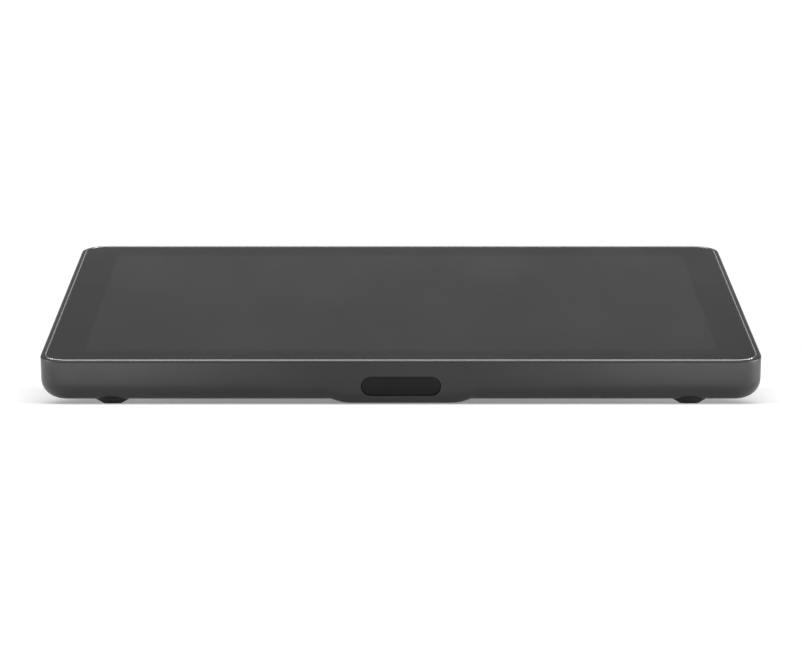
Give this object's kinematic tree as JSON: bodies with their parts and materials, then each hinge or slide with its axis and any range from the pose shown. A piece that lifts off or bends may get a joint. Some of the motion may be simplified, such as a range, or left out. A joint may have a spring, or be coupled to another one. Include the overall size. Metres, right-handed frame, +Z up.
{
  "type": "smart display",
  "caption": "Thin tilted touch screen slab with a pill-shaped sensor window in its front edge, on a wedge-shaped tabletop base that holds ports, a cable bay and a sliding cover.",
  "frame": {"origin": "middle of the whole object's box at the table surface under its feet", "axes": "+Z up from the table, -Y towards the user at the screen's low front edge, +X to the user's right"},
  "size_m": [0.246, 0.1612, 0.0547],
  "materials": {
    "shell": "satin, charcoal",
    "base_plastic": "matte, fine texture",
    "cover_glass": "gloss, black backed",
    "window": "gloss, infrared clear",
    "adhesive": "matte",
    "clear_film": "gloss, clear",
    "display_cell": "gloss",
    "acrylic": "gloss, clear",
    "white_plastic": "matte",
    "steel": "satin",
    "trim": "polished",
    "aluminium": "satin",
    "copper": "satin, copper coloured",
    "brass": "satin",
    "circuit_board": "satin, green",
    "chip": "matte, black",
    "flex": "satin, amber",
    "pad": "matte, soft",
    "foot_rubber": "matte",
    "button_plastic": "matte, grey"
  },
  "bodies": {
    "device": {"housing": "shell", "trim_ring": "trim", "cover_glass": "cover_glass", "glass_adhesive": "adhesive", "touch_sensor": "clear_film", "lcd_panel": "display_cell", "light_guide": "acrylic", "backlight_tray": "white_plastic", "led_strip": "white_plastic", "display_frame": "aluminium", "display_screws": "steel", "main_board": "circuit_board", "board_screws": "steel", "processor": "chip", "memory_chips": "chip", "shield_cans": "steel", "thermal_pad": "pad", "heat_spreader": "copper", "board_sockets": "white_plastic", "display_flex": "flex", "touch_flex": "flex", "sensor_window": "window", "sensor_board": "circuit_board", "motion_sensor": "steel", "sensor_screws": "steel", "sensor_cable": "white_plastic", "front_feet": "foot_rubber", "base_housing": "base_plastic", "base_screws": "steel", "base_plate": "base_plastic", "plate_screws": "steel", "speakers": "chip", "io_board": "circuit_board", "io_screws": "steel", "port_panel": "steel", "network_socket": "steel", "hdmi_socket": "steel", "usb_sockets": "steel", "reset_switch": "chip", "io_ribbon": "white_plastic", "antenna_boards": "chip", "mount_inserts": "brass", "rear_feet": "foot_rubber", "lock_plate": "steel", "cable_clamp": "base_plastic", "clamp_screws": "steel"},
    "reset_button": {"reset_button": "button_plastic"},
    "cable_cover": {"cable_cover": "base_plastic"}
  },
  "joints": [
    {"name": "reset_press", "type": "slide", "parent": "device", "child": "reset_button", "axis": [0, -1, 0], "range_m": [0, 0.0008], "stiffness_N_per_m": 1500},
    {"name": "cover_slide", "type": "slide", "parent": "device", "child": "cable_cover", "axis": [0, 1, 0], "range_m": [0, 0.036]}
  ]
}
